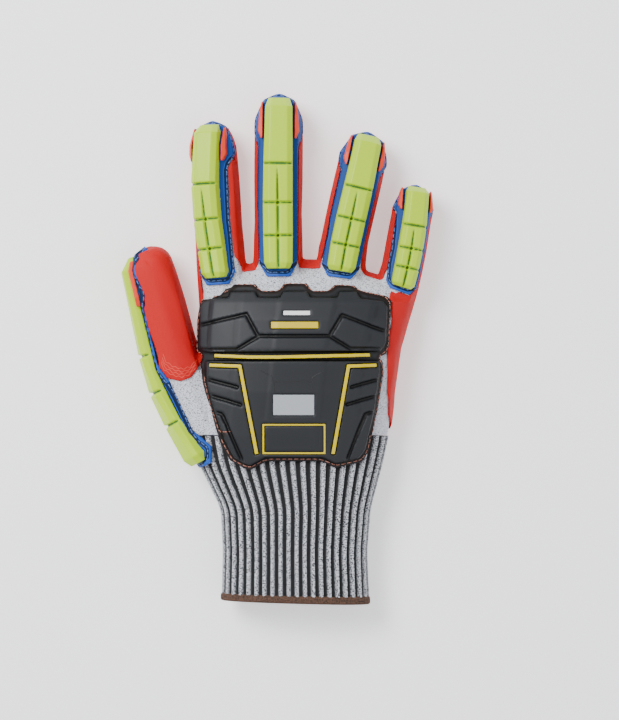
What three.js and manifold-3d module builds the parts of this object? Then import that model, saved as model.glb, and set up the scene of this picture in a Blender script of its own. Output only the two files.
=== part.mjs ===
// Impact glove for the right hand, lying palm down: a knit liner with a dipped palm, a ribbed cuff, a moulded guard on
// the back of the hand and a moulded guard on each finger. Millimetres, +Z up, fingers along +Y, thumb towards -X.
import * as THREE from 'three';
import { mergeVertices } from 'three/addons/utils/BufferGeometryUtils.js';
import Module from 'manifold-3d';

const wasm = await Module();
wasm.setup();

// Hand: the wrist line is y = 0 and the middle of the palm x = 0
const palmLength = 86;
const palmWidth = 104;
const palmThickness = 31;
const palmSquareness = 2.3;

// Cuff
const cuffLength = 83;
const cuffWidth = 71;
const ribCount = 42;
const ribDepth = 0.8;
const cuffWall = 1.9;

// Digits, each length from its root inside the palm to its tip
const fingerWidth = 22.2;
const fingerThickness = 19.2;
const fingerTipRound = 11;
const indexLength = 99.5;
const middleLength = 113;
const ringLength = 94.3;
const littleLength = 70.5;
const littleWidth = 19.2;
const thumbLength = 103;
const thumbWidth = 21;
const thumbThickness = 24.5;
const thumbTipRound = 8;

// Cloth, coating and clearances
const knitWall = 1.5;
const coatThickness = 0.8;
const clearance = 0.3;
const hemHeight = 4.2;
const hemThickness = 0.8;

// Guards
const flangeThickness = 1.6;
const flangeMargin = 2.4;
const indexPadWidth = 13.2;
const middlePadWidth = 14.6;
const ringPadWidth = 14.4;
const littlePadWidth = 12;
const thumbPadWidth = 13;
const padHeight = 5;
const padGrooveDepth = 2.6;
const padGrooveWidth = 1.8;
const wingHeight = 2.2;
const wingGap = 0.6;
const indexGuardLength = 82;
const middleGuardLength = 91.5;
const ringGuardLength = 74.5;
const littleGuardLength = 54;
const thumbGuardLength = 113;
const backPadHeight = 3.2;
const backGrooveDepth = 1.6;
const backGrooveWidth = 1.8;
const lineWidth = 1.7;
const lineProud = 0.7;
const printThickness = 0.5;
const badgeFrameWidth = 0.9;
const lineDrop = 0.6;
const wrapRise = 2;

// Where the coating climbs a finger near the web, as distances from the web line
const webReach = 12;
const webFold = 3;
const coatOvershoot = 8;
const coatSideRoom = 2;

// Facets
const bodySides = 18;
const digitSides = 8;
const cavityBodySides = 14;
const cavityDigitSides = 8;
const digitStations = [0, 0.5, 1];
const tipTurns = [48];

const floorLift = clearance + coatThickness;
const far = 400;

// Body sections from the hem to the finger webs. "at" is a share of the palm length above the wrist line and of the
// cuff length below it. "cuff" mixes the palm width (0) with the cuff width (1), and left and right are shares of that
// width from the middle. low and top are shares of the palm thickness.
const bodySections = [
  { at: -1.04, cuff: 1, left: -0.54, right: 0.493, low: -0.02, top: 0.94, slant: 0.016 },
  { at: -0.7, cuff: 1, left: -0.53, right: 0.475, low: -0.02, top: 0.93, slant: 0 },
  { at: -0.44, cuff: 1, left: -0.545, right: 0.499, low: -0.02, top: 0.93, slant: 0 },
  { at: -0.17, cuff: 0, left: -0.478, right: 0.398, low: -0.02, top: 0.95, slant: 0 },
  { at: 0, cuff: 0, left: -0.51, right: 0.428, low: -0.03, top: 0.99, slant: 0 },
  { at: 0.25, cuff: 0, left: -0.49, right: 0.452, low: -0.04, top: 1.04, slant: 0 },
  { at: 0.5, cuff: 0, left: -0.471, right: 0.48, low: -0.04, top: 1.05, slant: 0 },
  { at: 0.66, cuff: 0, left: -0.469, right: 0.518, low: -0.04, top: 1.01, slant: 0 },
  { at: 0.76, cuff: 0, left: -0.46, right: 0.538, low: -0.03, top: 0.93, slant: 0 },
  { at: 0.85, cuff: 0, left: -0.435, right: 0.5, low: -0.01, top: 0.8, slant: 0 },
  { at: 0.93, cuff: 0, left: -0.34, right: 0.36, low: 0.03, top: 0.61, slant: 0 },
  { at: 1, cuff: 0, left: -0.17, right: 0.09, low: 0.13, top: 0.36, slant: 0 },
];

// Digits. root is the spine's start as shares of the palm width and length. Each spine row holds along, a share of
// the straight length, across, a share of the length towards the little finger, lift, the middle's height as a share
// of the digit's thickness, wide, a share of its width, and roll, the turn of its guard towards the thumb in degrees.
const digits = {
  index: {
    root: [-0.351, 0.634], length: indexLength, width: fingerWidth, thickness: fingerThickness,
    tipRound: fingerTipRound, square: 2.2, guardSquare: 2.2,
    spine: [
      { along: 0, across: 0, lift: 0.74, wide: 1, roll: 14 },
      { along: 0.198, across: -0.008, lift: 0.72, wide: 1.02, roll: 16 },
      { along: 0.379, across: -0.0227, lift: 0.62, wide: 1.02, roll: 20 },
      { along: 0.595, across: -0.0454, lift: 0.56, wide: 1.01, roll: 22 },
      { along: 0.793, across: -0.0575, lift: 0.54, wide: 1, roll: 22 },
      { along: 1, across: -0.0625, lift: 0.53, wide: 0.97, roll: 18 },
    ],
  },
  middle: {
    root: [-0.096, 0.634], length: middleLength, width: fingerWidth, thickness: fingerThickness,
    tipRound: fingerTipRound, square: 2.2, guardSquare: 2.2,
    spine: [
      { along: 0, across: 0, lift: 0.8, wide: 1, roll: 0 },
      { along: 0.19, across: 0, lift: 0.78, wide: 1.02, roll: 0 },
      { along: 0.37, across: -0.002, lift: 0.66, wide: 1.01, roll: 0 },
      { along: 0.56, across: -0.004, lift: 0.58, wide: 0.99, roll: 0 },
      { along: 0.77, across: -0.003, lift: 0.55, wide: 1, roll: 0 },
      { along: 1, across: 0, lift: 0.53, wide: 1, roll: 0 },
    ],
  },
  ring: {
    root: [0.168, 0.634], length: ringLength, width: fingerWidth, thickness: fingerThickness,
    tipRound: fingerTipRound, square: 2.2, guardSquare: 2.2,
    spine: [
      { along: 0, across: 0, lift: 0.78, wide: 1, roll: -2 },
      { along: 0.21, across: 0.012, lift: 0.74, wide: 1.02, roll: -4 },
      { along: 0.449, across: 0.048, lift: 0.62, wide: 1, roll: -5 },
      { along: 0.659, across: 0.093, lift: 0.57, wide: 0.99, roll: -5 },
      { along: 0.838, across: 0.135, lift: 0.54, wide: 1, roll: -5 },
      { along: 1, across: 0.171, lift: 0.53, wide: 1, roll: -5 },
    ],
  },
  little: {
    root: [0.404, 0.605], length: littleLength, width: littleWidth, thickness: fingerThickness,
    tipRound: fingerTipRound, square: 2.2, guardSquare: 2.2,
    spine: [
      { along: 0, across: 0, lift: 0.66, wide: 1.04, roll: -4 },
      { along: 0.21, across: 0.068, lift: 0.64, wide: 1.04, roll: -6 },
      { along: 0.38, across: 0.127, lift: 0.58, wide: 1.02, roll: -8 },
      { along: 0.636, across: 0.182, lift: 0.55, wide: 1, roll: -8 },
      { along: 0.864, across: 0.22, lift: 0.53, wide: 1, roll: -8 },
      { along: 1, across: 0.239, lift: 0.53, wide: 0.98, roll: -8 },
    ],
  },
  thumb: {
    root: [-0.362, -0.122], length: thumbLength, width: thumbWidth, thickness: thumbThickness,
    tipRound: thumbTipRound, square: 2.3, guardSquare: 4,
    spine: [
      { along: 0, across: 0, lift: 0.54, wide: 1, roll: 50 },
      { along: 0.104, across: -0.055, lift: 0.54, wide: 1, roll: 54 },
      { along: 0.25, across: -0.135, lift: 0.54, wide: 1, roll: 62 },
      { along: 0.39, across: -0.203, lift: 0.54, wide: 1, roll: 70 },
      { along: 0.545, across: -0.25, lift: 0.54, wide: 1, roll: 76 },
      { along: 0.65, across: -0.272, lift: 0.54, wide: 0.99, roll: 80 },
      { along: 0.755, across: -0.29, lift: 0.54, wide: 0.98, roll: 82 },
      { along: 0.89, across: -0.327, lift: 0.54, wide: 0.97, roll: 82 },
      { along: 1, across: -0.362, lift: 0.54, wide: 0.94, roll: 82 },
    ],
  },
};

// Guard tables, from the tip to the knuckle: at is a share of the guard length, half a share of its half width
const flangeRows = [
  { at: 0.004, half: 0.45 }, { at: 0.05, half: 0.88 }, { at: 0.13, half: 1.2 }, { at: 0.2, half: 1.32 },
  { at: 0.29, half: 1.01 }, { at: 0.6, half: 1 }, { at: 0.93, half: 0.96 }, { at: 1, half: 0.6 },
];
// rise is a share of the pad height, notch and split shares of the groove depth across and along the pad
const padRows = [
  { at: 0.03, half: 0.72, rise: 0.35, notch: 0, split: 0 },
  { at: 0.08, half: 0.92, rise: 0.86, notch: 0, split: 0 },
  { at: 0.389, half: 0.99, rise: 1, notch: 1, split: 0 },
  { at: 0.6, half: 1.01, rise: 0.92, notch: 1, split: 1 },
  { at: 0.778, half: 1, rise: 0.86, notch: 1, split: 1 },
  { at: 0.925, half: 0.96, rise: 0.8, notch: 0, split: 1 },
  { at: 0.957, half: 0.76, rise: 0.5, notch: 0, split: 0.6 },
];
const thumbPadRows = [
  { at: 0.03, half: 0.66, rise: 0.35, notch: 0, split: 0 },
  { at: 0.08, half: 0.84, rise: 0.86, notch: 0, split: 0 },
  { at: 0.47, half: 1, rise: 1, notch: 1, split: 0 },
  { at: 0.62, half: 1.01, rise: 0.95, notch: 1, split: 0 },
  { at: 0.76, half: 1, rise: 0.95, notch: 1, split: 0 },
  { at: 0.93, half: 0.96, rise: 1, notch: 0, split: 0 },
  { at: 0.965, half: 0.76, rise: 0.6, notch: 0, split: 0 },
];
// inner and outer are shares of the half flange width
const wingRows = [
  { at: 0.05, inner: 0.82, outer: 0.86 }, { at: 0.1, inner: 0.82, outer: 0.98 },
  { at: 0.21, inner: 0.82, outer: 1.06 }, { at: 0.252, inner: 0.82, outer: 0.9 },
];

// Outlines on the back of the hand, as shares of the palm width from the middle and of the palm length from the wrist
const backOutline = [
  [-0.5, 0.512], [-0.5, 0.756], [-0.462, 0.811], [-0.428, 0.826], [-0.317, 0.846], [-0.303, 0.866], [-0.202, 0.866],
  [-0.178, 0.828], [-0.096, 0.828], [-0.072, 0.869], [0.038, 0.869], [0.062, 0.828], [0.139, 0.828], [0.168, 0.863],
  [0.26, 0.858], [0.284, 0.831], [0.413, 0.797], [0.438, 0.762], [0.423, 0.517], [0.409, 0.465], [0.375, 0.445],
  [0.394, 0.424], [0.397, 0.36], [0.37, 0.14], [0.327, -0.093], [0.298, -0.151], [0.221, -0.174], [0.168, -0.186],
  [0.13, -0.163], [0.101, -0.148], [-0.149, -0.148], [-0.183, -0.169], [-0.226, -0.198], [-0.26, -0.186],
  [-0.322, -0.145], [-0.37, -0.035], [-0.413, 0.14], [-0.447, 0.285], [-0.466, 0.407], [-0.447, 0.448],
  [-0.471, 0.477],
];
const knucklePadOutline = [
  [-0.462, 0.512], [-0.462, 0.744], [-0.438, 0.779], [-0.327, 0.785], [-0.317, 0.82], [-0.207, 0.82],
  [-0.192, 0.785], [-0.087, 0.785], [-0.072, 0.82], [0.038, 0.82], [0.053, 0.785], [0.183, 0.785], [0.192, 0.82],
  [0.269, 0.82], [0.288, 0.779], [0.394, 0.767], [0.413, 0.733], [0.404, 0.523], [0.38, 0.483], [-0.418, 0.477],
  [-0.447, 0.483],
];
const handPadOutline = [
  [-0.438, 0.424], [0.375, 0.424], [0.375, 0.36], [0.351, 0.14], [0.308, -0.081], [0.279, -0.128], [0.221, -0.145],
  [0.168, -0.157], [0.139, -0.14], [0.111, -0.122], [-0.159, -0.122], [-0.192, -0.145], [-0.226, -0.169],
  [-0.255, -0.157], [-0.303, -0.122], [-0.351, -0.023], [-0.394, 0.145], [-0.428, 0.291],
];
const backGrooves = [
  [[-0.53, 0.61], [-0.245, 0.692], [-0.188, 0.564], [-0.293, 0.488], [-0.53, 0.488]],
  [[-0.188, 0.567], [0.144, 0.567]],
  [[0.44, 0.575], [0.202, 0.686], [0.144, 0.567], [0.24, 0.494], [0.44, 0.494]],
  [[-0.45, 0.329], [-0.279, 0.273]],
  [[-0.45, 0.241], [-0.264, 0.174]],
  [[-0.42, 0.144], [-0.361, 0.122], [-0.25, -0.18]],
  [[0.4, 0.329], [0.236, 0.273]],
  [[0.39, 0.235], [0.216, 0.174]],
  [[0.37, 0.144], [0.312, 0.122], [0.212, -0.18]],
];
const flexLine = [[-0.394, 0.455], [-0.236, 0.447], [-0.091, 0.447], [0.332, 0.459]];
const thumbSideLine = [[-0.418, 0.401], [-0.274, 0.395], [-0.197, -0.105]];
const littleSideLine = [[0.362, 0.401], [0.231, 0.395], [0.159, -0.105]];
const badge = { left: -0.171, right: 0.125, low: -0.105, high: 0.067 };
const ratingPanel = { left: -0.12, right: 0.072, low: 0.116, high: 0.233 };
const wideBar = { left: -0.13, right: 0.091, low: 0.61, high: 0.648 };
const shortBar = { left: -0.072, right: 0.053, low: 0.686, high: 0.71 };

// Where the dip ends: the plan of the coated thumb, and the height of the coating's edge along the hand on its thumb
// side and little-finger side, as shares of the palm thickness
const coatedThumb = [
  [-1.149, 1.36], [-0.524, 1.36], [-0.452, 0.779], [-0.447, 0.477], [-0.481, 0.378], [-0.51, 0.331], [-0.562, 0.308],
  [-0.62, 0.326], [-0.659, 0.36], [-0.668, 0.459], [-0.716, 0.628], [-1.149, 0.651],
];
const dipEdge = [
  { at: 0.035, thumbSide: 0.4, littleSide: 0.45 },
  { at: 0.12, thumbSide: 0.4, littleSide: 0.68 },
  { at: 0.25, thumbSide: 0.4, littleSide: 0.78 },
  { at: 0.5, thumbSide: 0.4, littleSide: 0.86 },
  { at: 0.76, thumbSide: 0.4, littleSide: 0.82 },
  { at: 0.88, thumbSide: 0.48, littleSide: 0.55 },
  { at: 1.05, thumbSide: 0.5, littleSide: 0.5 },
];

// Mesh helpers

// A closed skin through rings of equally many points, each ring turning from right to up as seen from behind
function loft(rings) {
  const count = rings[0].length;
  const positions = rings.flat().flatMap((p) => [p.x, p.y, p.z]);
  const faces = [];
  for (let ring = 0; ring + 1 < rings.length; ring += 1) {
    for (let k = 0; k < count; k += 1) {
      const here = ring * count + k;
      const next = ring * count + ((k + 1) % count);
      faces.push(here, here + count, next + count, here, next + count, next);
    }
  }
  for (const last of [false, true]) {
    const ring = rings[last ? rings.length - 1 : 0];
    const start = last ? (rings.length - 1) * count : 0;
    const middle = ring.reduce((sum, p) => sum.add(p), new THREE.Vector3()).divideScalar(count);
    const centre = positions.length / 3;
    positions.push(middle.x, middle.y, middle.z);
    for (let k = 0; k < count; k += 1) {
      const next = (k + 1) % count;
      faces.push(centre, start + (last ? next : k), start + (last ? k : next));
    }
  }
  const geometry = new THREE.BufferGeometry();
  geometry.setAttribute('position', new THREE.Float32BufferAttribute(positions, 3));
  geometry.setIndex(faces);
  return geometry;
}

function solidOf(geometry) {
  const bare = geometry.clone();
  bare.deleteAttribute('normal');
  bare.deleteAttribute('uv');
  const merged = mergeVertices(bare, 1e-4);
  return new wasm.Manifold(new wasm.Mesh({
    numProp: 3,
    vertProperties: new Float32Array(merged.attributes.position.array),
    triVerts: new Uint32Array(merged.index.array),
  }));
}

function geometryOf(solid) {
  const mesh = solid.getMesh();
  const geometry = new THREE.BufferGeometry();
  geometry.setAttribute('position', new THREE.BufferAttribute(new Float32Array(mesh.vertProperties), 3));
  geometry.setIndex(new THREE.BufferAttribute(new Uint32Array(mesh.triVerts), 1));
  geometry.computeVertexNormals();
  return geometry;
}

function box(x0, x1, y0, y1, z0, z1) {
  const geometry = new THREE.BoxGeometry(x1 - x0, y1 - y0, z1 - z0);
  geometry.translate((x0 + x1) / 2, (y0 + y1) / 2, (z0 + z1) / 2);
  return solidOf(geometry);
}

// An upright prism over a plan outline
function prism(points, low, high) {
  const geometry = new THREE.ExtrudeGeometry(new THREE.Shape(points), { depth: high - low, bevelEnabled: false });
  geometry.translate(0, 0, low);
  return solidOf(geometry);
}

function onHand(share) {
  return new THREE.Vector2(share[0] * palmWidth, share[1] * palmLength);
}

// Moves each corner of a counter-clockwise or clockwise outline outwards by a distance
function grown(points, by) {
  const turn = THREE.ShapeUtils.area(points) > 0 ? 1 : -1;
  return points.map((point, k) => {
    const before = points[(k + points.length - 1) % points.length];
    const after = points[(k + 1) % points.length];
    const first = point.clone().sub(before).normalize();
    const second = after.clone().sub(point).normalize();
    const normal = new THREE.Vector2(first.y + second.y, -first.x - second.x).normalize().multiplyScalar(turn);
    const cosine = Math.max(normal.dot(new THREE.Vector2(first.y, -first.x).multiplyScalar(turn)), 0.5);
    return point.clone().addScaledVector(normal, by / cosine);
  });
}

// The outline of a ribbon of a given width along a line, with its ends lengthened by the last value
function ribbon(points, width, longer = 0) {
  const side = (sign) => points.map((point, k) => {
    const before = points[Math.max(k - 1, 0)];
    const after = points[Math.min(k + 1, points.length - 1)];
    const first = (k > 0 ? point.clone().sub(before) : after.clone().sub(point)).normalize();
    const second = (k + 1 < points.length ? after.clone().sub(point) : point.clone().sub(before)).normalize();
    const normal = new THREE.Vector2(-first.y - second.y, first.x + second.x).normalize();
    const cosine = Math.max(normal.dot(new THREE.Vector2(-first.y, first.x)), 0.5);
    const moved = point.clone().addScaledVector(normal, (sign * width) / 2 / cosine);
    if (k === 0) moved.addScaledVector(first, -longer);
    if (k + 1 === points.length) moved.addScaledVector(second, longer);
    return moved;
  });
  return [...side(1), ...side(-1).reverse()];
}

function rectangle(area) {
  return [[area.left, area.low], [area.right, area.low], [area.right, area.high], [area.left, area.high]].map(onHand);
}

function mix(a, b, t) {
  return a + (b - a) * t;
}

// Body and cuff

function roundPower(value, power) {
  return Math.sign(value) * Math.abs(value) ** power;
}

function bodyRow(section) {
  const width = mix(palmWidth, cuffWidth, section.cuff);
  const left = section.left * width;
  const right = section.right * width;
  const low = section.low * palmThickness;
  const top = section.top * palmThickness;
  return {
    y: section.at * (section.at < 0 ? cuffLength : palmLength),
    x: (left + right) / 2,
    z: (low + top) / 2,
    half: (right - left) / 2,
    thick: (top - low) / 2,
    slant: section.slant * width,
  };
}

function bodyPoint(row, angle, grow) {
  const power = 2 / palmSquareness;
  const across = roundPower(Math.cos(angle), power);
  return new THREE.Vector3(
    row.x + (row.half + grow) * across,
    row.y - row.slant * across,
    Math.max(row.z + (row.thick + grow) * roundPower(Math.sin(angle), power), floorLift - grow),
  );
}

function evenAngles(count) {
  return Array.from({ length: count }, (_, k) => (2 * Math.PI * k) / count);
}

function body(grow, sides = bodySides) {
  const rows = bodySections.map(bodyRow);
  rows[rows.length - 1].y += grow;
  return solidOf(loft(rows.map((row) => evenAngles(sides).map((angle) => bodyPoint(row, angle, grow)))));
}

// Angles that space the ribs evenly round the narrow part of the cuff
function ribAngles() {
  const row = bodyRow(bodySections[1]);
  const fine = evenAngles(1440);
  const ring = fine.map((angle) => bodyPoint(row, angle, 0));
  const lengths = [0];
  for (let k = 1; k <= ring.length; k += 1) {
    lengths.push(lengths[k - 1] + ring[k % ring.length].distanceTo(ring[k - 1]));
  }
  const pitch = lengths[ring.length] / ribCount;
  const at = (distance) => fine[lengths.findIndex((length) => length >= distance - 1e-9) % fine.length];
  return Array.from({ length: ribCount }, (_, rib) => [
    { angle: at((rib + 0.3) * pitch), grow: 0 },
    { angle: at((rib + 0.8) * pitch), grow: -ribDepth },
  ]).flat();
}

function cuffLoft(points) {
  const rows = bodySections.filter((section) => section.at <= 0).map(bodyRow);
  rows.push({ ...rows[rows.length - 1], y: rows[rows.length - 1].y + 1 });
  return solidOf(loft(rows.map((row) => points.map((point) => bodyPoint(row, point.angle, point.grow)))));
}

// A plain sleeve over the tops of the ribs
function cuffSleeve(grow) {
  return cuffLoft(ribAngles().filter((point) => point.grow === 0).map((point) => ({ ...point, grow })));
}

// Digits

const upwards = new THREE.Vector3(0, 0, 1);

function spineOf(digit) {
  const straight = digit.length - digit.tipRound;
  const points = digit.spine.map((row) => new THREE.Vector3(
    digit.root[0] * palmWidth + row.across * straight,
    digit.root[1] * palmLength + row.along * straight,
    row.lift * digit.thickness,
  ));
  return new THREE.CatmullRomCurve3(points, false, 'centripetal');
}

// The frame of a digit at a distance from its knit tip: its middle, sideways and guard directions, and its size there
function frameAt(digit, fromTip) {
  const length = digit.curve.getLength();
  const share = THREE.MathUtils.clamp(1 - (fromTip - digit.tipRound) / length, 0, 1);
  const tangent = digit.curve.getTangentAt(share);
  const middle = digit.curve.getPointAt(share);
  middle.addScaledVector(tangent, Math.max(digit.tipRound - fromTip, 0));
  const place = share * (digit.spine.length - 1);
  const row = digit.spine[Math.min(Math.floor(place), digit.spine.length - 2)];
  const next = digit.spine[digit.spine.indexOf(row) + 1];
  const part = place - digit.spine.indexOf(row);
  const roll = THREE.MathUtils.degToRad(mix(row.roll, next.roll, part));
  const level = new THREE.Vector3(tangent.y, -tangent.x, 0).normalize();
  return {
    middle,
    level,
    side: level.clone().multiplyScalar(Math.cos(roll)).addScaledVector(upwards, Math.sin(roll)),
    out: level.clone().multiplyScalar(-Math.sin(roll)).addScaledVector(upwards, Math.cos(roll)),
    half: (mix(row.wide, next.wide, part) * digit.width) / 2,
    thick: digit.thickness / 2,
    roll,
    power: digit.square,
    guardPower: digit.guardSquare,
  };
}

// How far the knit stands from a digit's middle, square to its spine, in a direction turned from the guard's
function reach(frame, turn = 0) {
  const angle = frame.roll + turn;
  const level = Math.abs(Math.sin(angle)) / frame.half;
  const up = Math.abs(Math.cos(angle)) / frame.thick;
  const power = Math.sin(angle) > 0 ? frame.guardPower : frame.power;
  return (level ** power + up ** power) ** (-1 / power);
}

function digitBody(digit, grow, sides = digitSides) {
  const straight = digit.curve.getLength();
  const stations = digitStations.map((share) => digit.tipRound + straight * (1 - share));
  const rings = [];
  const ring = (frame, scale, push) => evenAngles(sides).map((angle) => {
    const point = frame.middle.clone();
    const power = 2 / (Math.cos(angle) < 0 ? frame.guardPower : frame.power);
    const across = roundPower(Math.cos(angle), power);
    const up = roundPower(Math.sin(angle), power);
    point.addScaledVector(frame.level, (frame.half + grow) * scale * across);
    point.addScaledVector(upwards, (frame.thick + grow) * scale * up);
    point.addScaledVector(new THREE.Vector3(-frame.level.y, frame.level.x, 0), push);
    point.z = Math.max(point.z, floorLift - grow);
    return point;
  });
  for (const station of stations) {
    rings.push(ring(frameAt(digit, station), 1, 0));
  }
  const end = frameAt(digit, digit.tipRound);
  for (const turn of tipTurns.map(THREE.MathUtils.degToRad)) {
    rings.push(ring(end, Math.cos(turn), (digit.tipRound + grow) * Math.sin(turn)));
  }
  rings.push(ring(end, 0.12, digit.tipRound + grow));
  return solidOf(loft(rings));
}

for (const digit of Object.values(digits)) {
  digit.curve = spineOf(digit);
}

function hand(grow, round = bodySides, digitRound = digitSides) {
  return Object.values(digits).reduce(
    (sum, digit) => sum.add(digitBody(digit, grow, digitRound)),
    body(grow, round),
  );
}

// Levels above the knit
const coatTop = clearance + coatThickness;
const flangeTop = clearance + flangeThickness;
const padSeat = flangeTop + clearance;
const backTop = flangeTop + backPadHeight;

const cuffSeat = cuffSleeve(clearance);
const knitSkin = hand(0);
const coatSeat = hand(clearance);
const flangeSkin = hand(flangeTop);
const padSeatSkin = hand(padSeat);
const wingSkin = hand(padSeat + wingHeight);

// A lofted block over a digit: each row gives a place along the guard and a polygon of sideways and outward values
function digitBlock(digit, guard, rows) {
  return solidOf(loft(rows.map((row) => {
    const frame = frameAt(digit, row.at * guard.length - flangeTop + (row.shift ?? 0));
    return row.polygon(frame).map(([side, out]) => (
      frame.middle.clone().addScaledVector(frame.side, side).addScaledVector(frame.out, out)
    ));
  }).reverse()));
}

// The height of the pads' seat above a digit's middle, which falls away over the rounded tip
function seatHeight(digit, frame, fromTip) {
  const beyond = THREE.MathUtils.clamp((digit.tipRound - fromTip) / (digit.tipRound + padSeat), 0, 1);
  return (reach(frame) + padSeat) * Math.sqrt(1 - beyond ** 2);
}

function flangeBlock(digit, guard, grow) {
  const last = flangeRows.length - 1;
  return digitBlock(digit, guard, flangeRows.map((row, k) => ({
    at: row.at,
    shift: (k === 0 ? -grow - 1 : 0) + (k === last ? grow : 0),
    polygon: (frame) => {
      const flare = Math.min(row.half, 1) + Math.max(row.half - 1, 0) * guard.flare;
      const half = flare * (guard.padWidth / 2 + flangeMargin) + grow;
      const low = 0.14 * reach(frame) - grow;
      return [[half, low], [half, far / 10], [-half, far / 10], [-half, low]];
    },
  })));
}

function padBlock(digit, guard) {
  const blockRows = [];
  for (const row of guard.rows) {
    const shape = (rise, shift) => ({
      at: row.at,
      shift,
      polygon: (frame) => {
        const half = (row.half * guard.padWidth) / 2;
        const surface = seatHeight(digit, frame, row.at * guard.length - flangeTop);
        const top = surface + rise;
        const slit = padGrooveWidth / 2;
        const splitDepth = row.split * padGrooveDepth;
        const low = 0.45 * surface;
        const shoulder = top - 0.42 * padHeight;
        const ridge = 0.62 * half;
        return [
          [half, low], [half, shoulder], [ridge, top], [slit, top], [0, top - splitDepth],
          [-slit, top], [-ridge, top], [-half, shoulder], [-half, low],
        ];
      },
    });
    const full = row.rise * padHeight;
    if (row.notch > 0) {
      blockRows.push(shape(full, -padGrooveWidth / 2));
      blockRows.push(shape(full - row.notch * padGrooveDepth, 0));
      blockRows.push(shape(full, padGrooveWidth / 2));
    } else {
      blockRows.push(shape(full, 0));
    }
  }
  return digitBlock(digit, guard, blockRows);
}

function wingBlock(digit, guard, sign) {
  const flangeHalf = guard.padWidth / 2 + flangeMargin;
  return digitBlock(digit, guard, wingRows.map((row) => ({
    at: row.at,
    polygon: (frame) => {
      const inner = Math.max(row.inner * flangeHalf, guard.padWidth / 2 + wingGap);
      const outer = Math.max(row.outer * flangeHalf, inner + wingGap);
      const low = 0.3 * reach(frame);
      const points = [[outer, low], [outer, far / 10], [inner, far / 10], [inner, low]];
      return sign > 0 ? points : points.map(([side, out]) => [-side, out]).reverse();
    },
  })));
}

// Pieces

function add(group, name, solid, color, roughness, metalness = 0) {
  const material = new THREE.MeshStandardMaterial({ color, roughness, metalness });
  const mesh = new THREE.Mesh(geometryOf(solid), material);
  mesh.name = name;
  group.add(mesh);
}

const limeColor = 0xd3df4a;
const blueColor = 0x2f6fb5;
const orangeColor = 0xee6a4c;
const redColor = 0xdc2a28;
const blackColor = 0x3c3e44;
const yellowColor = 0xedd05a;
const knitColor = 0xcfd1d8;
const ribColor = 0xa4a6ad;
const hemColor = 0x6e5040;
const panelColor = 0x8f9299;

const wristPlane = box(-far, far, 0, far, -far, far);
const cuffPlane = box(-far, far, -far, -clearance, -far, far);
const aboveFloor = box(-far, far, -far, far, clearance, far);
const cuffEnd = -cuffLength + hemThickness + clearance;
const hemInside = -cuffWall - clearance;

function makeKnitHand() {
  return knitSkin.subtract(hand(-knitWall, cavityBodySides, cavityDigitSides)).intersect(wristPlane);
}

function makeRibCuff() {
  const trim = box(-far, far, cuffEnd, far, -far, far);
  return cuffLoft(ribAngles()).subtract(body(-cuffWall, cavityBodySides)).intersect(cuffPlane).intersect(trim);
}

function makeHem() {
  const low = -cuffLength;
  const band = box(-far, far, low, low + hemHeight, -far, far);
  const channel = cuffSleeve(clearance).subtract(body(hemInside, cavityBodySides));
  const inside = box(-far, far, cuffEnd - clearance, far, -far, far);
  return cuffSleeve(coatTop).subtract(body(hemInside - hemThickness, cavityBodySides)).intersect(band).subtract(channel.intersect(inside));
}

// The lowest height that the back guard reaches where it wraps over the side of the hand
const wrapHeight = 0.56 * palmThickness;

function backRegion(grow) {
  return prism(grown(backOutline.map(onHand), grow), wrapHeight - grow, far);
}

function makeCoating(guards) {
  const below = solidOf(loft(dipEdge.concat({ ...dipEdge[dipEdge.length - 1], at: far / palmLength }).map((row) => {
    const y = row.at * palmLength;
    const side = palmWidth / 2;
    const slope = (row.littleSide - row.thumbSide) * palmThickness;
    const middle = (row.littleSide + row.thumbSide) * 0.5 * palmThickness;
    const height = (x) => middle + (slope * x) / palmWidth;
    return [
      new THREE.Vector3(side * 4, y, -far), new THREE.Vector3(side * 4, y, height(side)),
      new THREE.Vector3(side, y, height(side)), new THREE.Vector3(-side, y, height(-side)),
      new THREE.Vector3(-side * 4, y, height(-side)), new THREE.Vector3(-side * 4, y, -far),
    ];
  })));
  let region = below.add(prism(coatedThumb.map(onHand), -far, far));
  for (const guard of guards.filter((item) => item.name !== 'thumb')) {
    const digit = digits[guard.name];
    const web = digit.length - guard.webAt * digit.length;
    const rows = [-coatOvershoot, web - webReach, web - webFold, web + webFold].map((fromTip, k) => ({
      at: (fromTip + flangeTop) / guard.length,
      polygon: (frame) => {
        const top = [far / 10, far / 10, 0.72 * frame.thick, 0.1 * frame.thick][k];
        const half = frame.half + coatTop + coatSideRoom;
        return [[half, -far / 10], [half, top], [-half, top], [-half, -far / 10]];
      },
    }));
    region = region.add(digitBlock(digit, guard, rows));
  }
  let coating = hand(coatTop).subtract(coatSeat).intersect(region);
  coating = coating.intersect(box(-far, far, dipEdge[0].at * palmLength, far, -far, far));
  for (const guard of guards) {
    coating = coating.subtract(flangeBlock(digits[guard.name], guard, clearance));
  }
  return coating.subtract(backRegion(clearance));
}

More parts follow.
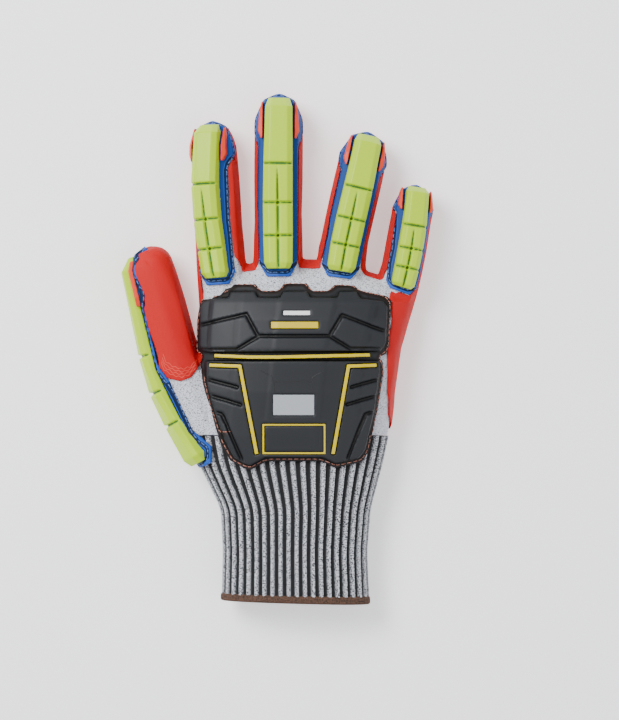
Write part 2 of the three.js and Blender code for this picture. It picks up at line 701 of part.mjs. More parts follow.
function makeBackGuard(insets) {
  const plate = body(flangeTop).intersect(backRegion(0));
  const padOutlines = [knucklePadOutline, handPadOutline].map((outline) => outline.map(onHand));
  const [knuckles, hollow] = padOutlines.map((outline) => prism(outline, wrapHeight + wrapRise, far));
  const raised = body(backTop).intersect(knuckles.add(hollow));
  let guard = plate.add(raised).subtract(coatSeat).subtract(cuffSeat);
  const grooveFloor = body(backTop - backGrooveDepth);
  for (const line of backGrooves) {
    guard = guard.subtract(prism(ribbon(line.map(onHand), backGrooveWidth), 0, far).subtract(grooveFloor));
  }
  for (const inset of insets) {
    let seat = prism(grown(inset.outline, clearance), 0, far).subtract(body(inset.low - clearance));
    if (inset.hole) seat = seat.subtract(prism(grown(inset.hole, -clearance), 0, far));
    guard = guard.subtract(seat);
  }
  return guard;
}

// Lets a flat shape into the back guard between two levels above the knit
function insetPiece(inset) {
  const piece = prism(inset.outline, wrapHeight, far).intersect(body(inset.high)).subtract(body(inset.low));
  return inset.hole ? piece.subtract(prism(inset.hole, 0, far)) : piece;
}

const lineBottom = backTop - backGrooveDepth + clearance;
const plateBottom = backTop - printThickness;
const plateTop = backTop + printThickness / 2;
const insets = [
  { name: 'flex_line', color: yellowColor, low: padSeat, high: backTop - lineDrop,
    outline: ribbon(flexLine.map(onHand), lineWidth) },
  { name: 'thumb_side_line', color: yellowColor, low: lineBottom, high: backTop + lineProud,
    outline: ribbon(thumbSideLine.map(onHand), lineWidth) },
  { name: 'little_side_line', color: yellowColor, low: lineBottom, high: backTop + lineProud,
    outline: ribbon(littleSideLine.map(onHand), lineWidth) },
  { name: 'badge_frame', color: yellowColor, low: plateBottom, high: plateTop, outline: rectangle(badge),
    hole: grown(rectangle(badge), -badgeFrameWidth) },
  { name: 'rating_plate', color: panelColor, low: plateBottom, high: plateTop, outline: rectangle(ratingPanel) },
  { name: 'wide_bar', color: yellowColor, low: plateBottom, high: plateTop, outline: rectangle(wideBar) },
  { name: 'short_bar', color: 0xe6e6e6, low: plateBottom, high: plateTop, outline: rectangle(shortBar) },
];

// flare scales the widening of the flange beside the wings. webAt is where the coating's edge crosses the finger, as
// a share of its length from the root.
const guards = [
  { name: 'index', length: indexGuardLength, padWidth: indexPadWidth, rows: padRows, flare: 1, webAt: 0.31 },
  { name: 'middle', length: middleGuardLength, padWidth: middlePadWidth, rows: padRows, flare: 1, webAt: 0.27 },
  { name: 'ring', length: ringGuardLength, padWidth: ringPadWidth, rows: padRows, flare: 1, webAt: 0.33 },
  { name: 'little', length: littleGuardLength, padWidth: littlePadWidth, rows: padRows, flare: 1, webAt: 0.36 },
  { name: 'thumb', length: thumbGuardLength, padWidth: thumbPadWidth, rows: thumbPadRows, flare: 0.35 },
];

const glove = new THREE.Group();
add(glove, 'knit_hand', makeKnitHand(), knitColor, 0.95);
add(glove, 'palm_coating', makeCoating(guards), redColor, 0.55);
add(glove, 'rib_cuff', makeRibCuff(), ribColor, 0.95);
add(glove, 'hem_binding', makeHem(), hemColor, 0.9);
add(glove, 'back_guard', makeBackGuard(insets), blackColor, 0.5);
for (const inset of insets) {
  add(glove, inset.name, insetPiece(inset), inset.color, 0.5);
}
for (const guard of guards) {
  const digit = digits[guard.name];
  const keep = (block, seat) => block.subtract(seat).intersect(aboveFloor);
  const flange = flangeBlock(digit, guard, 0).intersect(digitBody(digit, flangeTop).add(flangeSkin));
  add(glove, `${guard.name}_base`, keep(flange, coatSeat.add(cuffSeat)), blueColor, 0.5);
  add(glove, `${guard.name}_pad`, keep(padBlock(digit, guard), padSeatSkin), limeColor, 0.45);
  for (const [side, sign] of [['thumb_side', -1], ['little_side', 1]]) {
    const wing = keep(wingBlock(digit, guard, sign).intersect(wingSkin), padSeatSkin);
    add(glove, `${guard.name}_wing_${side}`, wing, orangeColor, 0.5);
  }
}

// The origin is the middle of the glove's box, on the surface that it lies on
const bounds = new THREE.Box3().setFromObject(glove);
const centre = bounds.getCenter(new THREE.Vector3());
glove.position.set(-centre.x, -centre.y, -bounds.min.z);

export default glove;
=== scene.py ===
"""A right-hand impact glove lying palm down, dressed over its CAD frame and seen from straight above."""

import logging
import math
from collections import defaultdict
from dataclasses import dataclass, field
from enum import Enum

import bmesh
import bpy
import numpy as np
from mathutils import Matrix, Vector
from mathutils.bvhtree import BVHTree
from mathutils.kdtree import KDTree


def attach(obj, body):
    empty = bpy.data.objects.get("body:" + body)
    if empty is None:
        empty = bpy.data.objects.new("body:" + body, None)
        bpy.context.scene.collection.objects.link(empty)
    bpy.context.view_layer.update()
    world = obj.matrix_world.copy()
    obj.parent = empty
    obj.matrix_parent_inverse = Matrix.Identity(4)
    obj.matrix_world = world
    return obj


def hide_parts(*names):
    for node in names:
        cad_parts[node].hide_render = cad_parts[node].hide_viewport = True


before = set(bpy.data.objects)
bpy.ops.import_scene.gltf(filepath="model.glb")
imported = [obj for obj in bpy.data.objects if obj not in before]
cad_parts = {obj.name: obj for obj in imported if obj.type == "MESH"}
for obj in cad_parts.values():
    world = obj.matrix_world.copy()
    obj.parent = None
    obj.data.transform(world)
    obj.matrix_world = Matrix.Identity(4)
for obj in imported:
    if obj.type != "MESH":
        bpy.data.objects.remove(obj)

log = logging.getLogger("glove")

MM = 0.001
# From the middle of the wrist, where the section table starts, to the frame's origin
WRIST = Vector((10.5645, -43.2164, 0)) * MM
FLOOR_LIFT = 1.1
SQUARENESS = 2.3
RIB_COUNT = 42
FLANGE = 1.6 * MM


class Slot(Enum):
    """The record's material slots."""

    KNIT = "knit_yarn"
    RIB = "rib_yarn"
    HEM = "hem_thread"
    DIP = "nitrile_dip"
    BLACK = "tpr_black"
    BLUE = "tpr_blue"
    LIME = "tpr_lime"
    ORANGE = "tpr_orange"
    YELLOW = "tpr_yellow"
    PRINT_GREY = "print_grey"
    PRINT_WHITE = "print_white"


class Pattern(Enum):
    """What varies over a surface besides its grain."""

    PLAIN = "plain"
    SPECKLED = "speckled"
    RIBBED = "ribbed"
    # Painted shade down in the grooves.
    EDGED = "edged"
    GROOVED = "grooved"
    THREAD = "thread"


@dataclass(frozen=True)
class Finish:
    """A surface's look. Lengths are in millimetres.

    Attributes:
        slot: The record's slot it belongs to.
        name: What the surface is.
        colour: sRGB hex of the main colour.
        roughness: Principled roughness.
        pattern: What varies over the surface.
        accent: sRGB hex of the specks, valleys, rim or shade; a blue piece's light rim is a painted highlight, and a
            lime piece's accent is painted shade in its grooves.
        channel: sRGB hex of the stitched channel along an edge.
        groove_shade_colour: sRGB hex of the painted shade down in the grooves of an edged piece.
        grain: Size of the surface's grain.
        relief: Depth of that grain.
        sheen: Weight of the fibres' sheen.
        shine: Principled specular level.
        glow: Strength of the surface's own light.
    """

    slot: Slot
    name: str
    colour: str
    roughness: float
    pattern: Pattern = Pattern.PLAIN
    accent: str = "#000000"
    channel: str = "#000000"
    # Painted shade: the colour laid down in the grooves.
    groove_shade_colour: str = "#08080A"
    grain: float = 0.5
    relief: float = 0.02
    sheen: float = 0.0
    shine: float = 0.5
    glow: float = 0.0

    def material(self) -> bpy.types.Material:
        """Builds the material once.

        Returns:
            The material, shared by every piece with this finish.
        """
        made = bpy.data.materials.get(self.name)
        if made:
            return made
        made = bpy.data.materials.new(self.name)
        made.use_nodes = True
        tree = made.node_tree
        shader = tree.nodes["Principled BSDF"]
        shader.inputs["Base Color"].default_value = linear(self.colour)
        shader.inputs["Roughness"].default_value = self.roughness
        shader.inputs["Sheen Weight"].default_value = self.sheen
        shader.inputs["Specular IOR Level"].default_value = self.shine
        shader.inputs["Emission Color"].default_value = linear(self.colour)
        shader.inputs["Emission Strength"].default_value = self.glow
        place = node(tree, "ShaderNodeTexCoord").outputs["Object"]
        builder = {
            Pattern.SPECKLED: self._speckled,
            Pattern.RIBBED: self._ribbed,
            Pattern.EDGED: self._edged,
            Pattern.GROOVED: self._with_groove_shade,
            Pattern.THREAD: self._thread,
        }.get(self.pattern)
        if builder:
            tree.links.new(builder(tree, place), shader.inputs["Base Color"])
        grain = noise(tree, place, (self.grain, self.grain, self.grain))
        if self.pattern in (Pattern.SPECKLED, Pattern.RIBBED):
            grain = self._stitches(tree, place)
        bump = node(tree, "ShaderNodeBump", Strength=1.0, Distance=self.relief * MM, Height=grain)
        tree.links.new(bump.outputs["Normal"], shader.inputs["Normal"])
        return made

    def _speckled(self, tree, place):
        """Light yarn with short dark flecks that lie across the hand."""
        flecks = noise(tree, place, (1.5 * self.grain, 0.6 * self.grain, self.grain), 2.0)
        return ramp(tree, flecks, ((0.36, self.accent), (0.47, self.colour)))

    def _ribbed(self, tree, place):
        """Light crests with a few flecks, and dark valleys between them."""
        flecks = noise(tree, place, (self.grain, 0.8 * self.grain, self.grain), 2.0)
        crest = ramp(tree, flecks, ((0.42, self.accent), (0.53, self.colour)))
        valley = node(tree, "ShaderNodeAttribute", attribute_name="valley").outputs["Fac"]
        return mixed(tree, valley, crest, linear(self.channel))

    def _edged(self, tree, place):
        """A light rim, the stitched channel inside it, a thin light line and the main colour, with painted shade down
        in the grooves; on blue pieces the light rim and line are painted highlights.
        """
        edge = node(tree, "ShaderNodeAttribute", attribute_name="edge").outputs["Fac"]
        stops = (
            (0.0, self.accent), (0.24, self.accent), (0.3, self.channel), (0.68, self.channel),
            (0.73, self.accent), (0.84, self.colour),
        )
        return self._with_groove_shade(tree, place, ramp(tree, edge, stops))

    def _with_groove_shade(self, tree, place, around=None):
        """The main colour, darkened down in the grooves by painted shade: towards the accent colour alone, or towards
        the groove shade colour over a given surround.
        """
        groove_shade_mask = node(tree, "ShaderNodeAttribute", attribute_name="groove_shade_mask").outputs["Fac"]
        if around is None:
            return ramp(tree, groove_shade_mask, ((0.2, self.colour), (0.8, self.accent)))
        return mixed(tree, groove_shade_mask, around, linear(self.groove_shade_colour))

    def _thread(self, tree, place):
        """Twisted thread, lighter on its high strands as painted highlight, laid in patches of noise."""
        strands = noise(tree, place, (self.grain, self.grain, self.grain), 1.0)
        return ramp(tree, strands, ((0.35, self.accent), (0.6, self.colour)))

    def _stitches(self, tree, place):
        """The height of fine knitted loops."""
        scale = tuple(1 / (size * MM) for size in (self.grain, 0.75 * self.grain, self.grain))
        mapped = node(tree, "ShaderNodeMapping", Vector=place, Scale=scale).outputs["Vector"]
        return node(tree, "ShaderNodeTexVoronoi", Vector=mapped, Scale=1.0).outputs["Distance"]


def linear(colour: str) -> tuple[float, float, float, float]:
    """Turns an sRGB hex colour linear.

    Args:
        colour: Such as "#A0B0C0".

    Returns:
        Linear red, green, blue and alpha 1.
    """
    shares = [int(colour[k : k + 2], 16) / 255 for k in (1, 3, 5)]
    turned = [c / 12.92 if c <= 0.04045 else ((c + 0.055) / 1.055) ** 2.4 for c in shares]
    return (*turned, 1.0)


def node(tree, kind: str, **values):
    """Adds a shader node.

    Args:
        tree: The material's node tree.
        kind: The node's type.
        values: Its settings, and its inputs by name with spaces as underscores: a constant or another node's socket.

    Returns:
        The node.
    """
    made = tree.nodes.new(kind)
    for key, value in values.items():
        socket = made.inputs.get(key.replace("_", " "))
        if socket is None:
            setattr(made, key, value)
        elif isinstance(value, bpy.types.NodeSocket):
            tree.links.new(value, socket)
        else:
            socket.default_value = value
    return made


def noise(tree, place, size_mm, detail: float = 3.0):
    """Noise with lumps of about the given size along X, Y and Z."""
    scale = tuple(1 / (size * MM) for size in size_mm)
    mapped = node(tree, "ShaderNodeMapping", Vector=place, Scale=scale).outputs["Vector"]
    return node(tree, "ShaderNodeTexNoise", Vector=mapped, Scale=1.0, Detail=detail).outputs["Fac"]


def ramp(tree, factor, stops):
    """Colours along a factor, from (position, sRGB hex) stops."""
    made = node(tree, "ShaderNodeValToRGB", Fac=factor)
    elements = made.color_ramp.elements
    while len(elements) < len(stops):
        elements.new(1.0)
    for element, (position, colour) in zip(elements, stops):
        element.position = position
        element.color = linear(colour)
    return made.outputs["Color"]


def mixed(tree, factor, first, second):
    """Mixes two colours by a factor."""
    made = node(tree, "ShaderNodeMix", data_type="RGBA")
    tree.links.new(factor, made.inputs[0])
    tree.links.new(first, made.inputs[6])
    made.inputs[7].default_value = second
    return made.outputs[2]


KNIT = Finish(Slot.KNIT, "melange knit", "#DCDEE8", 0.9, Pattern.SPECKLED, "#3A3C48", grain=0.5, relief=0.25, sheen=0.2)
RIB = Finish(
    Slot.RIB, "ribbed melange knit", "#D4D6DE", 0.9, Pattern.RIBBED, "#26272F", "#07080C", grain=0.62, relief=0.25,
    sheen=0.2,
)
HEM = Finish(Slot.HEM, "brown overlock thread", "#5C4030", 0.85, Pattern.THREAD, "#281A12", grain=0.5, relief=0.1)
DIP = Finish(Slot.DIP, "red dipped nitrile", "#BE0608", 0.65, grain=0.5, relief=0.16, shine=0.3)
# Its last colour, #020203, is painted shade down in the grooves.
BLACK = Finish(
    Slot.BLACK, "black moulded rubber", "#202226", 0.5, Pattern.EDGED, "#1C1212", "#160C0C", "#020203", 0.3, 0.01, shine=0.3
)
# Painted shade: dark tubes stand for the shade down in the guard's engraved lines.
ENGRAVED_SHADE = Finish(Slot.BLACK, "painted shade of the engraved lines", "#101114", 0.5)
DIP_LINE = Finish(Slot.DIP, "light ridge of the dip's edge", "#DC4030", 0.6)
# The maroon of the thread is the dark accent; its pale main colour is a painted highlight.
BLACK_THREAD = Finish(Slot.HEM, "maroon seam thread", "#C08472", 0.8, Pattern.THREAD, "#6A2E24", grain=0.4, relief=0.05)
# Painted highlight: the light accent #1E52B4 on the rim and the channel's inner lip; #061838 is painted shade down in
# the grooves.
BLUE = Finish(
    Slot.BLUE, "blue moulded rubber", "#0A3C86", 0.55, Pattern.EDGED, "#1E52B4", "#081E44", "#061838", 0.4, 0.01, shine=0.2
)
BLUE_THREAD = Finish(Slot.BLUE, "blue seam thread", "#6C90D8", 0.7, Pattern.THREAD, "#173A70", grain=0.4, relief=0.05)
# Painted light: the lime glows a little though it is no lamp, and its accent #185A34 is painted shade down in the
# grooves.
LIME = Finish(Slot.LIME, "lime moulded rubber", "#AED000", 0.42, Pattern.GROOVED, "#185A34", grain=0.5, relief=0.01, shine=0.35, glow=0.1)
ORANGE = Finish(Slot.ORANGE, "orange moulded rubber", "#DC3404", 0.5, grain=0.5, relief=0.01)
YELLOW = Finish(Slot.YELLOW, "yellow moulded rubber", "#CCB400", 0.45, grain=0.5, relief=0.01)
PRINT_GREY = Finish(Slot.PRINT_GREY, "grey print", "#9EA2A8", 0.6)
PRINT_WHITE = Finish(Slot.PRINT_WHITE, "white print", "#E8E9EC", 0.6)


def alone(piece) -> None:
    """Selects one object and makes it active."""
    bpy.ops.object.select_all(action="DESELECT")
    piece.select_set(True)
    bpy.context.view_layer.objects.active = piece


def modified(piece, kind: str, **settings):
    """Adds a modifier and applies it.

    Args:
        piece: The object.
        kind: The modifier's type.
        settings: Its settings.

    Returns:
        The object.
    """
    alone(piece)
    modifier = piece.modifiers.new(kind.lower(), kind)
    for key, value in settings.items():
        setattr(modifier, key, value)
    bpy.ops.object.modifier_apply(modifier=modifier.name)
    return piece


def copy_of(name: str, *nodes: str):
    """A welded copy of CAD nodes as one new object."""
    copies = []
    for key in nodes:
        made = bpy.data.objects.new(name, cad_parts[key].data.copy())
        bpy.context.scene.collection.objects.link(made)
        made.data.materials.clear()
        copies.append(made)
    alone(copies[0])
    for made in copies:
        made.select_set(True)
    if len(copies) > 1:
        bpy.ops.object.join()
    piece = copies[0]
    alone(piece)
    bpy.ops.object.mode_set(mode="EDIT")
    bpy.ops.mesh.select_all(action="SELECT")
    bpy.ops.mesh.remove_doubles(threshold=1e-6)
    bpy.ops.mesh.customdata_custom_splitnormals_clear()
    bpy.ops.object.mode_set(mode="OBJECT")
    return piece


def lattice(name: str, rows):
    """A closed ring-shaped skin through a grid of points that wraps round both ways.

    Args:
        name: The object's name.
        rows: Array of rows by columns by 3, in metres.

    Returns:
        The object.
    """
    count, columns = rows.shape[:2]
    here = np.arange(count * columns).reshape(count, columns)
    up = np.roll(here, -1, axis=0)
    quads = np.stack([here, np.roll(here, -1, axis=1), np.roll(up, -1, axis=1), up], axis=-1).reshape(-1, 4)
    mesh = bpy.data.meshes.new(name)
    mesh.from_pydata(rows.reshape(-1, 3).tolist(), [], quads.tolist())
    piece = bpy.data.objects.new(name, mesh)
    bpy.context.scene.collection.objects.link(piece)
    alone(piece)
    bpy.ops.object.mode_set(mode="EDIT")
    bpy.ops.mesh.select_all(action="SELECT")
    bpy.ops.mesh.normals_make_consistent(inside=False)
    bpy.ops.object.mode_set(mode="OBJECT")
    return piece


def tubes(name: str, paths, radius: float, sides: int = 2):
    """Round threads along paths, as one mesh.

    Args:
        name: The object's name.
        paths: Lists of points, in metres.
        radius: The thread's radius in metres.
        sides: The bevel's resolution.

    Returns:
        The object.
    """
    curve = bpy.data.curves.new(name, "CURVE")
    curve.dimensions = "3D"
    curve.bevel_depth = radius
    curve.bevel_resolution = sides
    curve.use_fill_caps = True
    for path in paths:
        spline = curve.splines.new("POLY")
        spline.points.add(len(path) - 1)
        for point, place in zip(spline.points, path):
            point.co = (*place, 1.0)
    piece = bpy.data.objects.new(name, curve)
    bpy.context.scene.collection.objects.link(piece)
    alone(piece)
    bpy.ops.object.convert(target="MESH")
    return piece


def vertices(piece):
    """A mesh's vertices as an array."""
    flat = np.empty(len(piece.data.vertices) * 3)
    piece.data.vertices.foreach_get("co", flat)
    return flat.reshape(-1, 3)


def paint(piece, name: str, values) -> None:
    """Stores one number at each vertex for the material."""
    layer = piece.data.attributes.new(name, "FLOAT", "POINT")
    layer.data.foreach_set("value", np.asarray(values, dtype=np.float32))


def tree_of(*pieces) -> BVHTree:
    """A search tree over the faces of one or more meshes."""
    places, faces = [], []
    for piece in pieces:
        first = len(places)
        places += [v.co.copy() for v in piece.data.vertices]
        faces += [tuple(k + first for k in p.vertices) for p in piece.data.polygons]
    return BVHTree.FromPolygons(places, faces)


def handed(piece, finish: Finish, *nodes: str) -> None:
    """Gives a finished piece its material and body, and hides the CAD nodes that it replaces."""
    piece.data.materials.clear()
    piece.data.materials.append(finish.material())
    alone(piece)
    bpy.ops.object.shade_smooth_by_angle(angle=math.radians(50))
    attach(piece, "root")
    if nodes:
        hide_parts(*nodes)
    log.info("%s: %d faces", piece.name, len(piece.data.polygons))


@dataclass
class Rim:
    """The outer top edge of a piece that lies on the hand, with the way out of the piece at each point."""

    points: list[Vector] = field(default_factory=list)
    outward: list[Vector] = field(default_factory=list)
    upward: list[Vector] = field(default_factory=list)

    @classmethod
    def of(cls, key: str, hand: BVHTree, step: float = 0.5 * MM) -> "Rim":
        """Finds the rim of a CAD node.

        Args:
            key: The node's name.
            hand: The hand's surface, which tells the faces on the hand from the others.
            step: The distance between points.

        Returns:
            The rim, evenly spaced.
        """
        mesh = bmesh.new()
        mesh.from_mesh(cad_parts[key].data)
        bmesh.ops.remove_doubles(mesh, verts=mesh.verts, dist=1e-6)
        mesh.normal_update()
        seat = {}
        for face in mesh.faces:
            _, normal, _, _ = hand.find_nearest(face.calc_center_median())
            seat[face] = face.normal.dot(normal) < -0.5
        links = defaultdict(list)
        for edge in mesh.edges:
            if len(edge.link_faces) == 2 and seat[edge.link_faces[0]] != seat[edge.link_faces[1]]:
                for vertex in edge.verts:
                    links[vertex].append(edge)
        unused = {edge for edges in links.values() for edge in edges}
        best, best_length = [], 0.0
        for first in sorted(unused, key=lambda edge: -edge.calc_length()):
            if first not in unused:
                continue
            run, here = [], first.verts[1]
            edge = first
            while edge:
                unused.discard(edge)
                side = edge.link_faces[1] if seat[edge.link_faces[0]] else edge.link_faces[0]
                run.append((here.co.copy(), side.normal.copy()))
                edge = next((e for e in links[here] if e in unused), None)
                here = edge.other_vert(here) if edge else here
            length = sum((b[0] - a[0]).length for a, b in zip(run, run[1:]))
            if length > best_length:
                best, best_length = run, length
        mesh.free()
        corners = np.array([tuple(p) for p, _ in best] + [tuple(best[0][0])])
        outs = np.array([tuple(n) for _, n in best] + [tuple(best[0][1])])
        along = np.concatenate([[0], np.cumsum(np.linalg.norm(np.diff(corners, axis=0), axis=1))])
        places = np.arange(0, along[-1], step)
        points = np.stack([np.interp(places, along, corners[:, k]) for k in range(3)], axis=1)
        sides = np.stack([np.interp(places, along, outs[:, k]) for k in range(3)], axis=1)
        window = 5
        points = sum(np.roll(points, k, axis=0) for k in range(-window, window + 1)) / (2 * window + 1)
        sides = sum(np.roll(sides, k, axis=0) for k in range(-window, window + 1))
        sides /= np.linalg.norm(sides, axis=1, keepdims=True)
        ups = np.array([tuple(hand.find_nearest(Vector(point))[1]) for point in points])
        raised = [Vector(point) + Vector(up) * FLANGE for point, up in zip(points, ups)]
        ups = sum(np.roll(ups, k, axis=0) for k in range(-window, window + 1))
        return cls(raised, [Vector(s) for s in sides], [Vector(up).normalized() for up in ups])

    def distances(self, places):
        """Distance from each place to the rim, in millimetres."""
        finder = KDTree(len(self.points))
        for k, point in enumerate(self.points):
            finder.insert(point, k)
        finder.balance()
        return np.array([finder.find(place)[2] for place in places]) / MM

    def stitches(self, surface: BVHTree, inset: float, pitch: int, length: int, rise: float):
        """Stitch paths along the rim.

        Args:
            surface: The dressed piece.
            inset: Distance inside the rim, in metres.
            pitch: Points from one stitch to the next.
            length: Points that one stitch covers.
            rise: How far a stitch stands out, in metres.

        Returns:
            A list of paths.
        """
        paths = []
        for start in range(0, len(self.points) - length, pitch):
            path = []
            for k in range(length + 1):
                here = self.points[start + k] - self.outward[start + k] * inset
                up = self.upward[start + k]
                place, normal, _, _ = surface.ray_cast(here + up * 8 * MM, -up)
                if place is None:
                    place, normal, _, _ = surface.find_nearest(here)
                height = rise * (1.6 * math.sin(math.pi * k / length) - 0.6)
                path.append(place + normal * height)
            if all((b - a).length < 0.8 * MM for a, b in zip(path, path[1:])):
                paths.append(path)
        return paths


@dataclass
class SoftShell:
    """A soft skin: the CAD walls with their facets rounded off.

    Attributes:
        key: The CAD node.
        finish: Its finish.
        passes: How many times the skin is relaxed.
    """

    key: str
    finish: Finish
    passes: int
    levels: int = 3

    def build(self):
        """Makes and dresses the skin."""
        piece = copy_of(self.key + "_skin", self.key)
        modified(piece, "SUBSURF", subdivision_type="SIMPLE", levels=self.levels, render_levels=self.levels)
        modified(piece, "SMOOTH", factor=0.5, iterations=self.passes)
        handed(piece, self.finish, self.key)
        return piece


@dataclass(frozen=True)
class CuffSection:
    """One section of the cuff, in millimetres from the middle of the wrist."""

    along: float
    left: float
    right: float
    low: float
    top: float
    slant: float = 0.0


@dataclass
class Cuff:
    """The ribbed cuff and the overlocked hem round its mouth."""

    sections: tuple[CuffSection, ...] = (
        CuffSection(-86.32, -38.34, 35.0, -0.62, 29.14, 1.14),
        CuffSection(-58.1, -37.63, 33.73, -0.62, 28.83),
        CuffSection(-36.52, -38.7, 35.43, -0.62, 28.83),
        CuffSection(-14.11, -49.71, 41.39, -0.62, 29.45),
        CuffSection(0.0, -53.04, 44.51, -0.93, 30.69),
    )
    mouth: float = -81.9
    wrist: float = -0.4
    rib_depth: float = 1.0
    wall: float = 1.9
    hem_height: float = 4.2
    thread_count: int = 150

    def angles(self, count: int):
        """Angles that space points evenly round the narrow part."""
        fine = np.linspace(0, 2 * math.pi, 2881)
        ring = self.ring(self.sections[1].along, fine, np.zeros_like(fine))
        along = np.concatenate([[0], np.cumsum(np.linalg.norm(np.diff(ring, axis=0), axis=1))])
        return np.interp(np.linspace(0, along[-1], count, endpoint=False), along, fine)

    def ring(self, y: float, angles, grow):
        """Points round the cuff at a distance along it, grown outwards, in metres."""
        table = np.array([[s.along, s.left, s.right, s.low, s.top, s.slant] for s in self.sections])
        left, right, low, top, slant = (
            sum(np.interp(y + shift, table[:, 0], table[:, k]) for shift in (-3, 0, 3)) / 3 for k in range(1, 6)
        )
        power = 2 / SQUARENESS
        across = np.sign(np.cos(angles)) * np.abs(np.cos(angles)) ** power
        up = np.sign(np.sin(angles)) * np.abs(np.sin(angles)) ** power
        x = (left + right) / 2 + ((right - left) / 2 + grow) * across
        z = np.maximum((low + top) / 2 + ((top - low) / 2 + grow) * up, FLOOR_LIFT - grow)
        return np.stack([x, y - slant * across, z], axis=1) * MM + np.array(WRIST)

    def build(self) -> None:
        """Makes and dresses both pieces."""
        self.build_ribs()
        self.build_hem()

    def sleeve(self):
        """A plain sleeve over the ribs, to find what lies on the cuff. It isn't kept."""
        angles = self.angles(120)
        shapes = [(y, 0.0) for y in np.linspace(self.mouth, self.wrist, 40)]
        shapes += [(y, -self.wall) for y in np.linspace(self.wrist, self.mouth, 4)]
        return lattice("sleeve", np.array([self.ring(y, angles, np.full(120, grow)) for y, grow in shapes]))

    def build_ribs(self) -> None:
        """The ribs: rounded crests with narrow valleys, and a plain inside."""
        per_rib = 8
        angles = self.angles(RIB_COUNT * per_rib)
        phase = (np.arange(len(angles)) / per_rib + 0.2) % 1
        away = np.abs(phase - 0.5) * 2
        drop = np.clip((away - 0.3) / 0.3, 0, 1)
        drop = drop * drop * (3 - 2 * drop)
        crown = 0.18 * (1 - np.clip(away / 0.6, 0, 1) ** 2)
        outside = np.linspace(self.mouth, self.wrist, 64)
        inside = np.linspace(self.wrist, self.mouth, 24)
        rows = [self.ring(y, angles, crown - self.rib_depth * drop) for y in outside]
        rows += [self.ring(y, angles, np.full(len(angles), -self.wall)) for y in inside]
        piece = lattice("rib_cuff_knit", np.array(rows))
        paint(piece, "valley", np.concatenate([np.tile(drop, len(outside)), np.full(len(inside) * len(angles), 0.15)]))
        handed(piece, RIB, "rib_cuff")

    def build_hem(self) -> None:
        """The hem: a rounded band with slanting turns of thread."""
        columns = self.thread_count * 6
        angles = self.angles(columns)
        rows = []
        count = 20
        for k in range(count):
            turn = 2 * math.pi * k / count
            out, along = math.cos(turn), math.sin(turn)
            swell = 0.12 * np.sin(2 * math.pi * (np.arange(columns) / 6) + 2.5 * along)
            thick = (self.wall + 0.9) / 2
            round_out = math.copysign(abs(out) ** 0.6, out)
            round_along = math.copysign(abs(along) ** 0.6, along)
            grow = -self.wall / 2 + 0.05 + (thick + swell) * round_out
            y = self.mouth - 1.1 + self.hem_height / 2 + (self.hem_height / 2 - 0.15) * round_along
            rows.append(self.ring(y, angles, grow))
        piece = lattice("hem_binding_thread", np.array(rows))
        handed(piece, HEM, "hem_binding")


@dataclass(frozen=True)
class RoundBack:
    """Bulges what lies on the back of the hand from the frame's facets out to the hand's true curve.

    Attributes:
        sections: Along, left, right, low and top of the hand, in millimetres from the middle of the wrist.
        facets: How many flat sides the frame's hand has.
    """

    sections: tuple[tuple[float, float, float, float, float], ...] = (
        (-36.52, -38.7, 35.43, -0.62, 28.83), (-14.11, -49.71, 41.39, -0.62, 29.45), (0.0, -53.04, 44.51, -0.93, 30.69),
        (21.5, -50.96, 47.01, -1.24, 32.24), (43.0, -48.98, 49.92, -1.24, 32.55), (56.76, -48.78, 53.87, -1.24, 31.31),
        (65.36, -47.84, 55.95, -0.93, 28.83), (73.1, -45.24, 52.0, -0.31, 24.8), (79.98, -35.36, 37.44, 0.93, 18.91),
    )
    facets: int = 18

    def bulge(self, piece) -> None:
        """Moves a piece's vertices out."""
        places = vertices(piece)
        local = (places - np.array(WRIST)) / MM
        table = np.array(self.sections)
        left, right, low, top = (np.interp(local[:, 1], table[:, 0], table[:, k]) for k in range(1, 5))
        half, thick = (right - left) / 2, (top - low) / 2
        turn = np.arctan2((local[:, 2] - (low + top) / 2) / thick, (local[:, 0] - (left + right) / 2) / half)
        out = self.curve(turn) - self.chord(turn)
        places[:, 0] += out * np.cos(turn) * half * MM
        places[:, 2] += out * np.sin(turn) * thick * MM
        piece.data.vertices.foreach_set("co", places.reshape(-1))
        piece.data.update()

    def curve(self, turn):
        """Radius of the rounded outline of half size 1 in each direction."""
        return (np.abs(np.cos(turn)) ** SQUARENESS + np.abs(np.sin(turn)) ** SQUARENESS) ** (-1 / SQUARENESS)

    def chord(self, turn):
        """Radius of the faceted outline of half size 1 in each direction."""
        steps = np.linspace(0, 2 * math.pi, self.facets + 1)
        power = 2 / SQUARENESS
        corners = [np.sign(f(steps)) * np.abs(f(steps)) ** power for f in (np.cos, np.sin)]
        fine = np.linspace(0, self.facets, self.facets * 60 + 1)
        across, up = (np.interp(fine, np.arange(self.facets + 1), c) for c in corners)
        angles = np.unwrap(np.arctan2(up, across))
        return np.interp(np.mod(turn, 2 * math.pi), angles, np.hypot(across, up))


